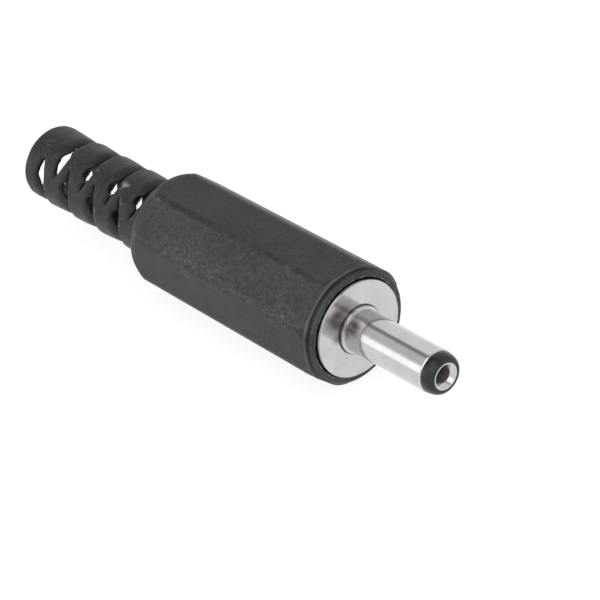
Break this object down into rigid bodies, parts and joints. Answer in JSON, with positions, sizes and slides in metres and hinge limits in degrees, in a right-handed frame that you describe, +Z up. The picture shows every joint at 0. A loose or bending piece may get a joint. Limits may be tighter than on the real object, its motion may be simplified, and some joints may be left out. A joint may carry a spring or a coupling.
{
  "type": "dc power plug",
  "caption": "Inline DC barrel plug with a screw-on moulded hood: an octagonal grip that runs into a slotted bend relief sleeve.",
  "frame": {"origin": "middle of the plug barrel's plain length, on the axis", "axes": "+X along the barrel, towards its tip; +Z up, away from the flat of the grip that the plug rests on"},
  "size_m": [0.0464, 0.0094, 0.0094],
  "materials": {
    "hood_plastic": "matt moulded",
    "nickel_plate": "satin nickel plate on brass",
    "tip_plastic": "satin moulded"
  },
  "bodies": {
    "plug": {"threaded_shell": "nickel_plate", "barrel": "nickel_plate", "tip_insulator": "tip_plastic", "centre_contact": "nickel_plate", "rear_bush": "tip_plastic", "ground_lug": "nickel_plate", "centre_lug": "nickel_plate"},
    "hood": {"hood": "hood_plastic"}
  },
  "joints": [
    {"name": "hood_slide", "type": "slide", "parent": "plug", "child": "hood", "axis": [-1, 0, 0], "range_m": [0, 0.02]}
  ]
}
